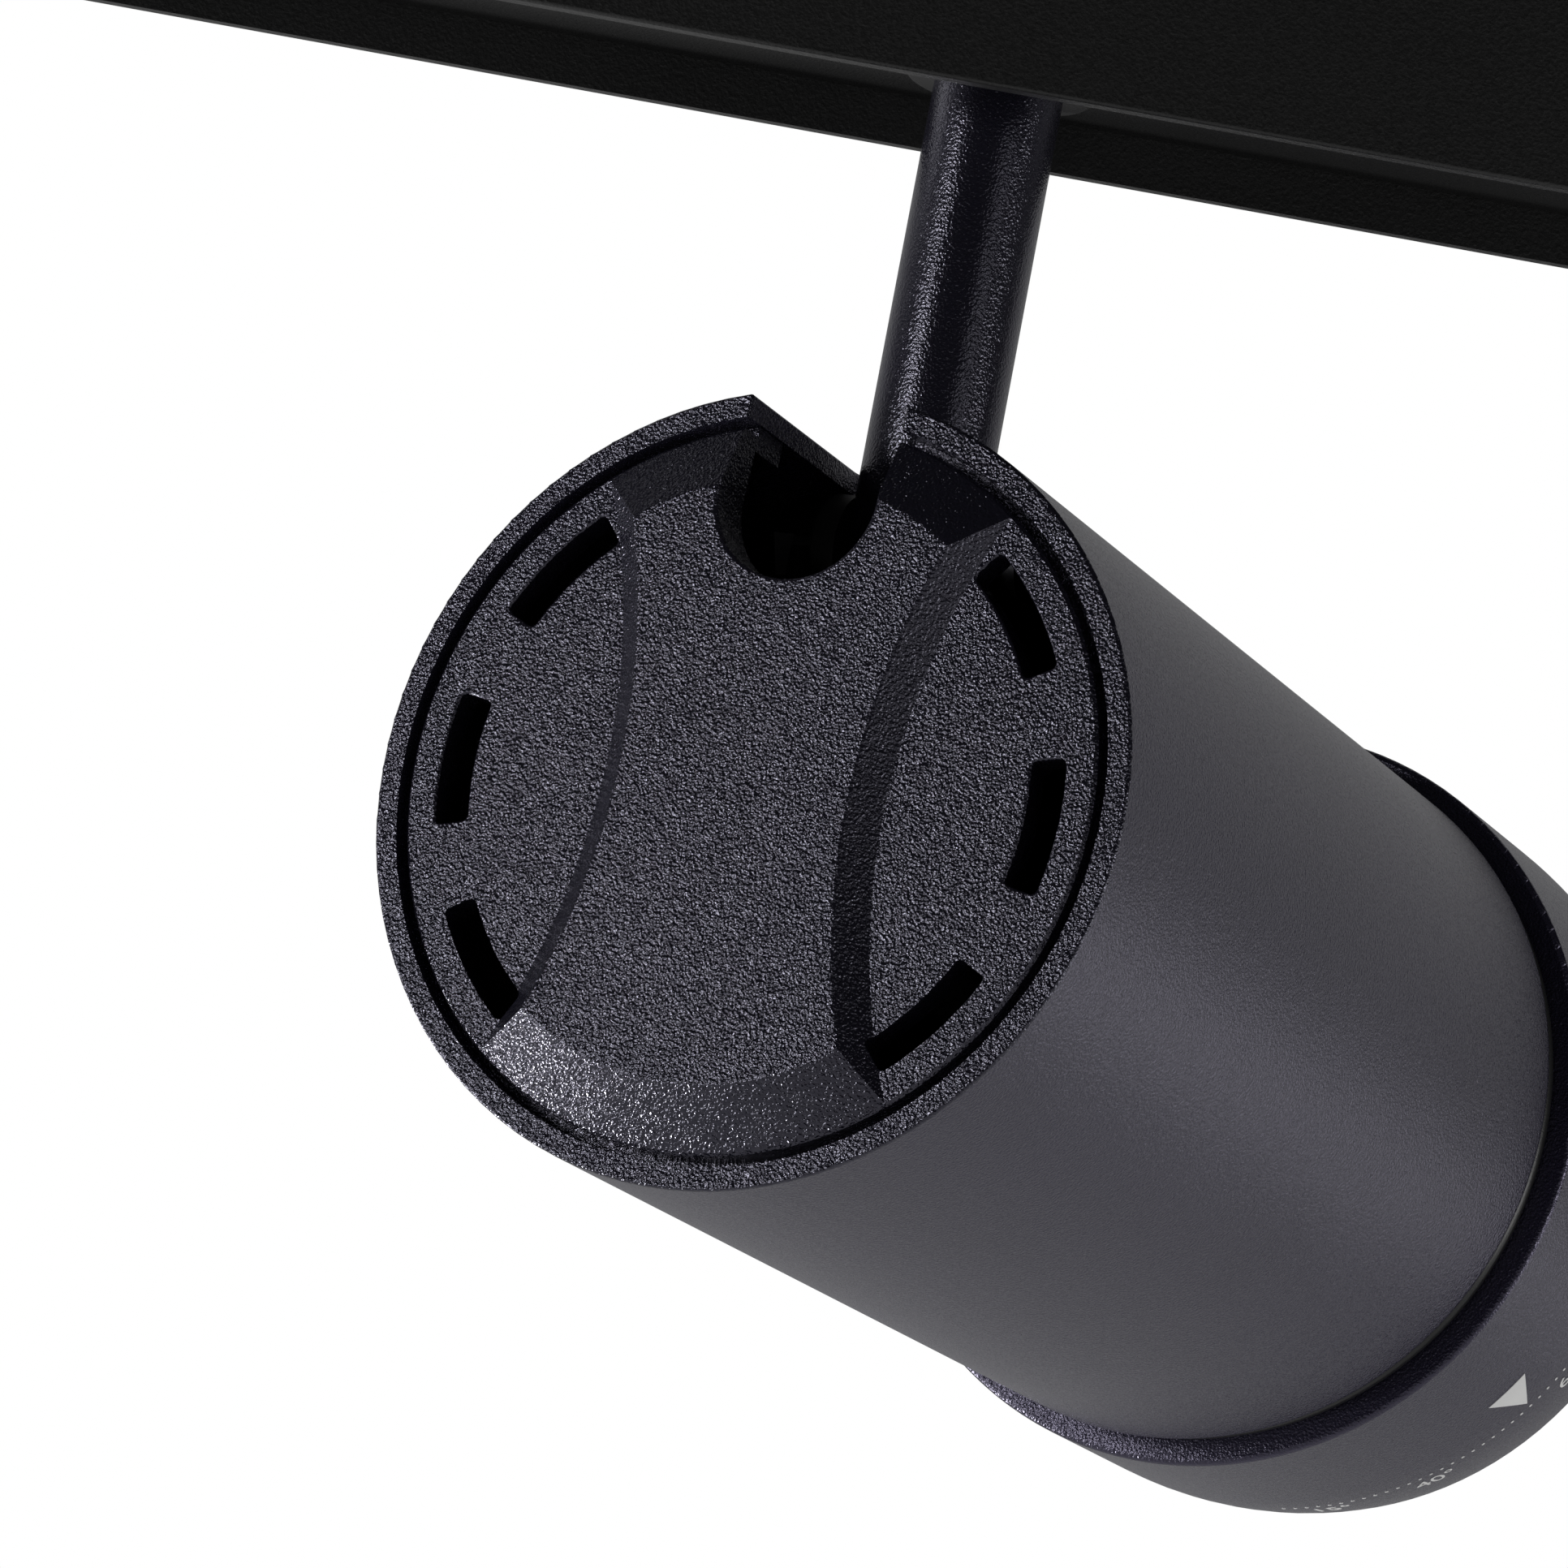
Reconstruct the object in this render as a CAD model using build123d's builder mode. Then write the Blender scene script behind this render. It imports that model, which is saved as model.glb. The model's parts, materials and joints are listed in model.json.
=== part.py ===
"""Track spotlight: a driver box with a track adapter, a stem that pans, and a zoom head that tilts.

Millimetres, +Z up, +X along the driver box. The origin is the centre of the face that bears on
the underside of the track. The head hangs from the stem, panned and tilted as it is at rest.
"""
import os
from math import cos, radians, sin, sqrt

from build123d import *

os.makedirs("parts", exist_ok=True)

# ---------------------------------------------------------------- driving dimensions
# Pose at rest
PAN_REST = 64.8  # head's heading, from +X towards +Y
TILT_REST = 3.6  # nose below the horizontal

# Driver box
BOX_LENGTH = 220.0
BOX_WIDTH = 31.0
BOX_HEIGHT = 34.0
BOX_WALL = 1.6
BOX_CORNER_R = 0.35
END_CAP_THICK = 2.5
PLATE_RECESS = 4.9
PLATE_THICK = 1.5
BOX_SCREW_R = 1.45

# Track adapter
FLANGE_LENGTH = 120.0
FLANGE_THICK = 9.0
INSERT_LENGTH = 110.0
INSERT_WIDTH = 17.6
INSERT_HEIGHT = 17.5
LEVER_X = 38.0
LEVER_SHAFT_R = 4.0
LEVER_REACH = 18.5
LEVER_THICK = 4.0
RUNNING_GAP = 0.06

# Stem
STEM_R = 6.18
STEM_BORE_R = 4.0
JOURNAL_R = 5.0
PIVOT_DROP = 42.0  # pivot below the box's lower edge
PIVOT_BOLT_R = 2.0
FLAT_HALF = 5.6  # half the thickness across the stem end's flats

# Head
HEAD_R = 37.5
HEAD_WALL = 2.2
HEAD_LENGTH = 116.0
PIVOT_AHEAD = 22.7  # pivot ahead of the head's rear rim
PIVOT_ABOVE = 28.8  # pivot above the head's axis
SLOT_HALF = 7.8
NOTCH_R = 8.0
NOTCH_ABOVE = 26.9  # centre of the notch's round end above the head's axis

# Rear cap
CAP_R = 34.3
CAP_THICK = 3.0
PLATEAU_RISE = 2.3
PLATEAU_R = 28.3
WAIST_HALF = 11.75
WAIST_ARC_R = 65.7
WAIST_DRAFT = 2.6
VENT_INNER_R = 28.0
VENT_OUTER_R = 31.3
VENT_SPAN = 23.3
VENT_ANGLES = (52.0, 91.2, 130.0)
PLATEAU_EDGE = 0.4  # fillet radii
VENT_EDGE = 0.25
SLOT_EDGE = 0.3

# Zoom ring and optics
RING_R = 39.5
RING_REAR = 118.6
RING_SHOULDER = 140.0
RING_FRONT = 156.0
RING_FRONT_R = 37.5
COLLAR_R = 35.0
COLLAR_BORE_R = 32.5
COLLAR_REAR = 104.0
COLLAR_FRONT = 141.0
CARRIER_AT = 132.5  # guide pins, ahead of the rear rim
ZOOM_HALF = 5.0  # travel of the lens carrier each way
PIN_R = 1.5

# ---------------------------------------------------------------- derived places
BOX_TOP = -FLANGE_THICK
BOX_BOTTOM = BOX_TOP - BOX_HEIGHT
PLATE_BOTTOM = BOX_BOTTOM + PLATE_RECESS
PLATE_TOP = PLATE_BOTTOM + PLATE_THICK
PIVOT_Z = BOX_BOTTOM - PIVOT_DROP
INNER_HALF = BOX_WIDTH / 2 - BOX_WALL
CHANNEL_LENGTH = BOX_LENGTH - 2 * END_CAP_THICK
BOSS_Y = INNER_HALF - 2.2
BOSS_Z = BOX_TOP - BOX_WALL - 2.2
HEAD_BORE_R = HEAD_R - HEAD_WALL

pan = radians(PAN_REST)
tilt = radians(TILT_REST)
FORWARD = Vector(cos(tilt) * cos(pan), cos(tilt) * sin(pan), -sin(tilt))
UPWARD = Vector(sin(tilt) * cos(pan), sin(tilt) * sin(pan), cos(tilt))
SIDEWAYS = UPWARD.cross(FORWARD)
HEADING = Vector(cos(pan), sin(pan), 0)
PIVOT = Vector(0, 0, PIVOT_Z)
RIM_CENTRE = PIVOT - FORWARD * PIVOT_AHEAD - UPWARD * PIVOT_ABOVE
HEAD_AXIS = Axis(RIM_CENTRE, FORWARD)

# The head's lengthwise section: x runs ahead of the rear rim, y is the radius.
SECTION = Plane(origin=RIM_CENTRE, x_dir=FORWARD, z_dir=SIDEWAYS * -1)
# The stem's own planes: x along the pivot bolt, y up, looking along the heading.
STEM_FACING = Plane(origin=PIVOT, x_dir=SIDEWAYS, z_dir=HEADING)


def across(ahead):
    """The plane square to the head's axis, this far ahead of the rear rim: x sideways, y up."""
    return Plane(origin=RIM_CENTRE + FORWARD * ahead, x_dir=SIDEWAYS, z_dir=FORWARD)


def beside(offset):
    """The plane square to the pivot bolt at this offset: x forward, y up, from the pivot."""
    return Plane(origin=PIVOT + SIDEWAYS * offset, x_dir=FORWARD * -1, z_dir=SIDEWAYS)


def radial(ahead, angle):
    """The plane whose z points out of the head's axis, at this angle from its top."""
    outward = UPWARD * cos(radians(angle)) + SIDEWAYS * sin(radians(angle))
    return Plane(origin=RIM_CENTRE + FORWARD * ahead, x_dir=FORWARD, z_dir=outward)


def level(height):
    """The horizontal plane at this height."""
    return Plane.XY.offset(height)


def polar(radius, angle):
    """A point at this radius and this angle from the top, towards the side."""
    return (radius * sin(radians(angle)), radius * cos(radians(angle)))


def save(name, part):
    """Label a finished piece and write it as the node of that name."""
    part.label = name
    export_step(part, f"parts/{name}.step")


# ---------------------------------------------------------------- driver box
with BuildPart() as box_housing:
    with BuildSketch(Plane.YZ.offset(-CHANNEL_LENGTH / 2)):
        with Locations((0, BOX_TOP - BOX_HEIGHT / 2)):
            outline = Rectangle(BOX_WIDTH, BOX_HEIGHT)
        fillet(outline.vertices(), BOX_CORNER_R)
        with Locations((0, BOX_BOTTOM)):
            Rectangle(
                2 * INNER_HALF,
                BOX_HEIGHT - BOX_WALL,
                align=(Align.CENTER, Align.MIN),
                mode=Mode.SUBTRACT,
            )
        # Screw bosses in the upper corners and the ribs that the underside plate bears on
        for side in (-1, 1):
            with Locations((side * (INNER_HALF - 2.1), BOSS_Z + 0.05)):
                Rectangle(4.4, 4.4)
            with Locations((side * BOSS_Y, BOSS_Z)):
                Circle(BOX_SCREW_R + 0.05, mode=Mode.SUBTRACT)
            with Locations((side * (INNER_HALF - 0.5), PLATE_TOP + 1.0)):
                Rectangle(1.4, 2.0)
    extrude(amount=CHANNEL_LENGTH)
    # Adapter screw holes and the wire hole in the top wall
    with BuildSketch(level(BOX_TOP)):
        with Locations((-54, 0), (54, 0)):
            Circle(2.1)
        Circle(4.0)
    extrude(amount=-BOX_WALL - 0.5, mode=Mode.SUBTRACT)
save("box_housing", box_housing.part)

with BuildPart() as underside_plate:
    with BuildSketch(level(PLATE_BOTTOM)):
        Rectangle(CHANNEL_LENGTH - 0.2, 2 * INNER_HALF - 0.1)
        Circle(7.95, mode=Mode.SUBTRACT)
        with Locations((-101, 0), (101, 0)):
            Circle(1.6, mode=Mode.SUBTRACT)
        with Locations((-10.5, 0)):
            Circle(1.25, mode=Mode.SUBTRACT)
    extrude(amount=PLATE_THICK)
save("underside_plate", underside_plate.part)

for side, name in ((-1, "end_cap_left"), (1, "end_cap_right")):
    with BuildPart() as end_cap:
        cap_face = Plane(origin=(side * BOX_LENGTH / 2, 0, 0), x_dir=(0, 1, 0), z_dir=(side, 0, 0))
        with BuildSketch(cap_face):
            with Locations((0, side * (BOX_TOP - BOX_HEIGHT / 2))):
                RectangleRounded(BOX_WIDTH, BOX_HEIGHT, BOX_CORNER_R)
        extrude(amount=-END_CAP_THICK)
        outer_edges = end_cap.faces().sort_by(Axis.X)[-1 if side > 0 else 0].edges()
        fillet(outer_edges, 0.8)
        # The foot that the underside plate is screwed to
        with BuildSketch(level(PLATE_TOP)):
            with Locations((side * (CHANNEL_LENGTH / 2 - 6), 0)):
                Rectangle(12, 18)
        extrude(amount=6)
        with BuildSketch(level(PLATE_TOP)):
            with Locations((side * 101, 0)):
                Circle(1.45)
        extrude(amount=5, mode=Mode.SUBTRACT)
        with BuildSketch(Plane.YZ.offset(side * (BOX_LENGTH / 2 + 1))):
            with Locations((-BOSS_Y, BOSS_Z), (BOSS_Y, BOSS_Z)):
                Circle(1.6)
        extrude(amount=-side * (END_CAP_THICK + 2), mode=Mode.SUBTRACT)
    save(name, end_cap.part)

with BuildPart() as end_cap_screws:
    for side in (-1, 1):
        with BuildSketch(Plane.YZ.offset(side * BOX_LENGTH / 2)):
            with Locations((-BOSS_Y, BOSS_Z), (BOSS_Y, BOSS_Z)):
                Circle(BOX_SCREW_R)
        extrude(amount=-side * 9)
        with BuildSketch(Plane.YZ.offset(side * BOX_LENGTH / 2)):
            with Locations((-BOSS_Y, BOSS_Z), (BOSS_Y, BOSS_Z)):
                Circle(2.7)
        extrude(amount=side * 1.8)
    heads = end_cap_screws.faces().filter_by(Axis.X).group_by(Axis.X)
    fillet(heads[0].edges() + heads[-1].edges(), 0.7)
    for side in (-1, 1):
        with BuildSketch(Plane.YZ.offset(side * (BOX_LENGTH / 2 + 1.8))):
            with Locations((-BOSS_Y, BOSS_Z), (BOSS_Y, BOSS_Z)):
                Rectangle(2.6, 0.6)
                Rectangle(0.6, 2.6)
        extrude(amount=-side * 1.0, mode=Mode.SUBTRACT)
save("end_cap_screws", end_cap_screws.part)

with BuildPart() as plate_screws:
    with BuildSketch(level(PLATE_BOTTOM)):
        with Locations((-101, 0), (101, 0)):
            Circle(1.4)
    extrude(amount=5.5)
    with BuildSketch(level(PLATE_BOTTOM)):
        with Locations((-101, 0), (101, 0)):
            Circle(2.75)
    extrude(amount=-1.6)
    fillet(plate_screws.faces().sort_by(Axis.Z)[:2].edges(), 0.6)
    with BuildSketch(level(PLATE_BOTTOM - 1.6)):
        with Locations((-101, 0), (101, 0)):
            Rectangle(2.6, 0.6)
            Rectangle(0.6, 2.6)
    extrude(amount=0.9, mode=Mode.SUBTRACT)
save("plate_screws", plate_screws.part)

# ---------------------------------------------------------------- track adapter
LOCK_WINDOW = (7.3, 3.6)  # height of the locking ear's window, and how tall it is
PHASE_WINDOW = (11.9, 2.4)
LEVER_FLOOR = -6.3

with BuildPart() as adapter_body:
    with BuildSketch(level(BOX_TOP)):
        RectangleRounded(FLANGE_LENGTH, BOX_WIDTH, 3.0)
    extrude(amount=FLANGE_THICK)
    with BuildSketch(level(0)):
        RectangleRounded(INSERT_LENGTH, INSERT_WIDTH, 2.0)
    extrude(amount=INSERT_HEIGHT)
    fillet(adapter_body.faces().sort_by(Axis.Z)[-1].edges(), 1.2)
    # Pockets that the two levers swing in, open on the near side
    for centre in (-LEVER_X, LEVER_X):
        with BuildSketch(level(LEVER_FLOOR)):
            with Locations((centre, -5)):
                Rectangle(34, 22)
        extrude(amount=LEVER_THICK + 0.6, mode=Mode.SUBTRACT)
    # Windows for the locking ear and for the phase contact
    for centre, (height, tall) in ((LEVER_X, LOCK_WINDOW), (-LEVER_X, PHASE_WINDOW)):
        with BuildSketch(level(height)):
            with Locations((centre, 0)):
                Rectangle(27, INSERT_WIDTH + 2)
        extrude(amount=tall, mode=Mode.SUBTRACT)
    # Shaft bores
    for centre, top in ((LEVER_X, LOCK_WINDOW[0]), (-LEVER_X, PHASE_WINDOW[0])):
        with BuildSketch(level(LEVER_FLOOR)):
            with Locations((centre, 0)):
                Circle(LEVER_SHAFT_R + RUNNING_GAP)
        extrude(amount=top - LEVER_FLOOR + 0.5, mode=Mode.SUBTRACT)
    # Pockets for the fixed contacts, and the pilot and wire holes below
    with BuildSketch(level(3.0)):
        for side in (-1, 1):
            with Locations((0, side * INSERT_WIDTH / 2)):
                Rectangle(14, 2.0)
        with Locations((-18, INSERT_WIDTH / 2)):
            Rectangle(12, 2.0)
    extrude(amount=5.0, mode=Mode.SUBTRACT)
    with BuildSketch(level(BOX_TOP)):
        with Locations((-54, 0), (54, 0)):
            Circle(1.85)
        Circle(4.0)
    extrude(amount=7.0, mode=Mode.SUBTRACT)
save("adapter_body", adapter_body.part)

with BuildPart() as adapter_screws:
    with BuildSketch(level(BOX_TOP - BOX_WALL)):
        with Locations((-54, 0), (54, 0)):
            Circle(1.8)
    extrude(amount=BOX_WALL + 6.5)
    with BuildSketch(level(BOX_TOP - BOX_WALL)):
        with Locations((-54, 0), (54, 0)):
            Circle(3.4)
    extrude(amount=-2.2)
save("adapter_screws", adapter_screws.part)


def leaf_contact(centre, side, length):
    """A bowed copper leaf that stands proud of the insert's side."""
    root = side * (INSERT_WIDTH / 2 - 0.9)
    crown = side * (INSERT_WIDTH / 2 + 0.8)
    ends = (centre - length / 2, centre + length / 2)
    with BuildPart() as leaf:
        with BuildSketch(level(3.3)):
            with BuildLine():
                ThreePointArc((ends[0], root), (centre, crown), (ends[1], root))
                Line((ends[1], root), (ends[0], root))
            make_face()
        extrude(amount=4.4)
    return leaf.part


with BuildPart() as earth_contacts:
    add(leaf_contact(0, -1, 12.0))
    add(leaf_contact(0, 1, 12.0))
save("earth_contacts", earth_contacts.part)

with BuildPart() as neutral_contact:
    add(leaf_contact(-18, 1, 10.0))
save("neutral_contact", neutral_contact.part)


def thumb_lever(centre, heading, shaft_top):
    """A shaft with a thumb tab; the heading is the tab's angle from -Y, seen from above."""
    tab_end = LEVER_REACH - LEVER_THICK
    angle = radians(heading)
    tip = (centre + tab_end * sin(angle), -tab_end * cos(angle))
    with BuildPart() as lever:
        with BuildSketch(level(LEVER_FLOOR + 0.3)):
            SlotCenterPoint(
                ((centre + tip[0]) / 2, tip[1] / 2),
                tip,
                2 * LEVER_THICK,
            )
            with Locations((centre, 0)):
                Circle(5.5)
        extrude(amount=LEVER_THICK)
        fillet(lever.faces().sort_by(Axis.Z)[0].edges(), 0.5)
        with BuildSketch(level(LEVER_FLOOR + 0.3)):
            with Locations((centre, 0)):
                Circle(LEVER_SHAFT_R)
        extrude(amount=shaft_top - LEVER_FLOOR - 0.3)
    return lever.part


with BuildPart() as lock_lever:
    add(thumb_lever(LEVER_X, -45, LOCK_WINDOW[0] + 0.3))
    with BuildSketch(level(LOCK_WINDOW[0] + 0.3)):
        with Locations((LEVER_X, 0)):
            SlotOverall(24, 7, rotation=90)
    extrude(amount=3.0)
save("lock_lever", lock_lever.part)

with BuildPart() as phase_selector:
    add(thumb_lever(-LEVER_X, 45, PHASE_WINDOW[0] + 0.3))
save("phase_selector", phase_selector.part)

with BuildPart() as phase_contact:
    with BuildSketch(level(PHASE_WINDOW[0] + 0.3)):
        with Locations((-LEVER_X, -4)):
            SlotOverall(16, 5, rotation=90)
    extrude(amount=1.2)
save("phase_contact", phase_contact.part)

# ---------------------------------------------------------------- driver
with BuildPart() as insulator_sheet:
    with BuildSketch(level(PLATE_TOP)):
        with Locations((-57, 0)):
            Rectangle(76, 24)
    extrude(amount=0.5)
save("insulator_sheet", insulator_sheet.part)

PCB_TOP = PLATE_TOP + 2.1
with BuildPart() as driver_pcb:
    with BuildSketch(level(PLATE_TOP + 0.5)):
        with Locations((-57, 0)):
            Rectangle(74, 23)
    extrude(amount=1.6)
save("driver_pcb", driver_pcb.part)

with BuildPart() as transformer:
    with BuildSketch(level(PCB_TOP)):
        with Locations((-52, 0)):
            Rectangle(20, 18)
    extrude(amount=3)
    with BuildSketch(level(PCB_TOP + 3)):
        with Locations((-52, 0)):
            RectangleRounded(12, 16, 2)
    extrude(amount=9)
    with BuildSketch(level(PCB_TOP + 3)):
        with Locations((-60.5, 0), (-43.5, 0)):
            Rectangle(3, 11)
    extrude(amount=9)
    with BuildSketch(level(PCB_TOP + 12)):
        with Locations((-52, 0)):
            Rectangle(20, 11)
    extrude(amount=3)
save("transformer", transformer.part)

with BuildPart() as capacitors:
    with BuildSketch(level(PCB_TOP)):
        with Locations((-86, 5.5), (-86, -5.5)):
            Circle(5.0)
        with Locations((-74, 0)):
            Circle(4.0)
    extrude(amount=15)
    fillet(capacitors.faces().sort_by(Axis.Z)[-3:].edges(), 0.8)
save("capacitors", capacitors.part)

with BuildPart() as choke:
    for height, radius, tall in ((0, 5.0, 1.5), (1.5, 3.6, 7.0), (8.5, 5.0, 1.5)):
        with BuildSketch(level(PCB_TOP + height)):
            with Locations((-32, 0)):
                Circle(radius)
        extrude(amount=tall)
save("choke", choke.part)

with BuildPart() as terminal_block:
    with BuildSketch(level(PLATE_TOP)):
        with Locations((38, 0)):
            RectangleRounded(14, 22, 1)
    extrude(amount=11)
    with BuildSketch(level(PLATE_TOP + 11)):
        with Locations((38, -7), (38, 0), (38, 7)):
            Circle(2.0)
    extrude(amount=-4, mode=Mode.SUBTRACT)
    with BuildSketch(Plane.YZ.offset(31)):
        with Locations((-7, PLATE_TOP + 4), (0, PLATE_TOP + 4), (7, PLATE_TOP + 4)):
            Circle(1.6)
    extrude(amount=4, mode=Mode.SUBTRACT)
save("terminal_block", terminal_block.part)

# ---------------------------------------------------------------- stem
BUSH_FLANGE = 1.2
STEM_TOP = PLATE_BOTTOM - BUSH_FLANGE
STEM_FOOT = PIVOT_Z + 7.0
BUSH_TOP = PLATE_TOP + 0.5

with BuildPart() as stem_bush:
    with BuildSketch(level(STEM_TOP)):
        Circle(9.0)
    extrude(amount=BUSH_FLANGE)
    fillet(stem_bush.faces().sort_by(Axis.Z)[0].edges(), 0.4)
    with BuildSketch(level(PLATE_BOTTOM)):
        Circle(7.9)
    extrude(amount=BUSH_TOP - PLATE_BOTTOM)
    with BuildSketch(level(STEM_TOP)):
        Circle(JOURNAL_R + RUNNING_GAP)
    extrude(amount=BUSH_TOP - STEM_TOP, mode=Mode.SUBTRACT)
save("stem_bush", stem_bush.part)

with BuildPart() as stop_peg:
    with BuildSketch(level(PLATE_BOTTOM)):
        with Locations((-10.5, 0)):
            Circle(1.2)
    extrude(amount=PLATE_THICK + 2.6)
save("stop_peg", stop_peg.part)

with BuildPart() as stem:
    with BuildSketch(level(STEM_FOOT)):
        Circle(STEM_R)
    extrude(amount=STEM_TOP - STEM_FOOT - 0.05)
    with BuildSketch(level(STEM_TOP - 0.05)):
        Circle(JOURNAL_R)
    extrude(amount=13.0)
    with BuildSketch(level(STEM_FOOT)):
        Circle(STEM_BORE_R)
    extrude(amount=12.0, mode=Mode.SUBTRACT)
    with BuildSketch(level(STEM_FOOT)):
        Circle(3.0)
    extrude(amount=60.0, mode=Mode.SUBTRACT)
save("stem", stem.part)

with BuildPart() as stop_washer:
    with BuildSketch(level(BUSH_TOP + 0.05)):
        Circle(8.5)
        with Locations(Location((0, 0, 0), (0, 0, PAN_REST))):
            with Locations((9.5, 0)):
                Rectangle(5.0, 5.0)
        Circle(JOURNAL_R + 0.03, mode=Mode.SUBTRACT)
    extrude(amount=1.2)
save("stop_washer", stop_washer.part)

with BuildPart() as stem_nut:
    with BuildSketch(level(BUSH_TOP + 1.25)):
        RegularPolygon(7.5, 6, major_radius=False)
        Circle(JOURNAL_R + 0.03, mode=Mode.SUBTRACT)
    extrude(amount=5.0)
save("stem_nut", stem_nut.part)

with BuildPart() as stem_end:
    # Round below the tube, with a half-round end about the pivot bolt and two flats
    with BuildSketch(level(PIVOT_Z - STEM_R)):
        Circle(STEM_R)
    extrude(amount=STEM_FOOT - PIVOT_Z + STEM_R)
    with BuildSketch(beside(-STEM_R - 1)):
        with Locations((0, -STEM_R)):
            Rectangle(3 * STEM_R, 2 * STEM_R)
        Circle(STEM_R, mode=Mode.SUBTRACT)
    extrude(amount=2 * STEM_R + 2, mode=Mode.SUBTRACT)
    with BuildSketch(level(STEM_FOOT)):
        Circle(STEM_BORE_R - 0.05)
    extrude(amount=8.0)
    for side in (-1, 1):
        with BuildSketch(STEM_FACING):
            with Locations((side * (FLAT_HALF + 2.5), 0)):
                Rectangle(5.0, 13.0)
        extrude(amount=10, both=True, mode=Mode.SUBTRACT)
    with BuildSketch(beside(-10)):
        Circle(PIVOT_BOLT_R + RUNNING_GAP)
    extrude(amount=20, mode=Mode.SUBTRACT)
    # Cable way: down the middle, then out of the front
    with BuildSketch(level(PIVOT_Z + 4.4)):
        Circle(2.1)
    extrude(amount=12, mode=Mode.SUBTRACT)
    with BuildSketch(STEM_FACING):
        with Locations((0, 4.4)):
            Circle(2.1)
    extrude(amount=10, mode=Mode.SUBTRACT)
save("stem_end", stem_end.part)

with BuildPart() as stem_cable:
    with BuildSketch(level(PIVOT_Z + 5.0)):
        Circle(1.9)
    extrude(amount=BUSH_TOP + 16 - PIVOT_Z)
save("stem_cable", stem_cable.part)

# ---------------------------------------------------------------- head shell
def on_slot_edge(edge):
    """True of the edges where the stem's slot breaks the head's outer skin."""
    middle = edge.center() - RIM_CENTRE
    return middle.dot(UPWARD) > 0.9 * HEAD_R and middle.dot(FORWARD) < PIVOT_AHEAD + 2 * SLOT_HALF


with BuildPart() as head_tube:
    with BuildSketch(across(0)):
        Circle(HEAD_R)
        Circle(HEAD_BORE_R, mode=Mode.SUBTRACT)
    extrude(amount=HEAD_LENGTH)
    front_edge = head_tube.edges().filter_by(GeomType.CIRCLE).group_by(SortBy.RADIUS)[-1]
    fillet(front_edge.sort_by(HEAD_AXIS)[-1], 1.6)
    fillet(front_edge.sort_by(HEAD_AXIS)[0], 0.3)
    # The slot that the stem swings through, from the rear rim to the pivot
    slot_plane = Plane(
        origin=RIM_CENTRE + FORWARD * PIVOT_AHEAD, x_dir=FORWARD, z_dir=UPWARD
    )
    with BuildSketch(slot_plane):
        Circle(SLOT_HALF)
        with Locations((-PIVOT_AHEAD / 2 - 2, 0)):
            Rectangle(PIVOT_AHEAD + 4, 2 * SLOT_HALF)
    extrude(amount=HEAD_R + 5, mode=Mode.SUBTRACT)
    # Its outer edge, softened like the rest of the casting
    outer_skin = head_tube.faces().filter_by(GeomType.CYLINDER).sort_by(SortBy.AREA)[-1]
    fillet(outer_skin.edges().filter_by(on_slot_edge), SLOT_EDGE)
save("head_tube", head_tube.part)


def vent(mid_angle):
    """One arc-shaped vent with small corner radii, centred at this angle from the top."""
    first = mid_angle - VENT_SPAN / 2
    last = mid_angle + VENT_SPAN / 2
    with BuildSketch() as slot:
        with BuildLine():
            ThreePointArc(
                polar(VENT_OUTER_R, first), polar(VENT_OUTER_R, mid_angle), polar(VENT_OUTER_R, last)
            )
            Line(polar(VENT_OUTER_R, last), polar(VENT_INNER_R, last))
            ThreePointArc(
                polar(VENT_INNER_R, last), polar(VENT_INNER_R, mid_angle), polar(VENT_INNER_R, first)
            )
            Line(polar(VENT_INNER_R, first), polar(VENT_OUTER_R, first))
        make_face()
        fillet(slot.vertices(), 0.6)
    return slot.sketch


def faces_with_vents(face):
    """True of the cap's two side faces, which lie at the rim and have vents in them."""
    return abs((face.center() - RIM_CENTRE).dot(FORWARD)) < 0.1 and len(face.inner_wires()) > 0


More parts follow.
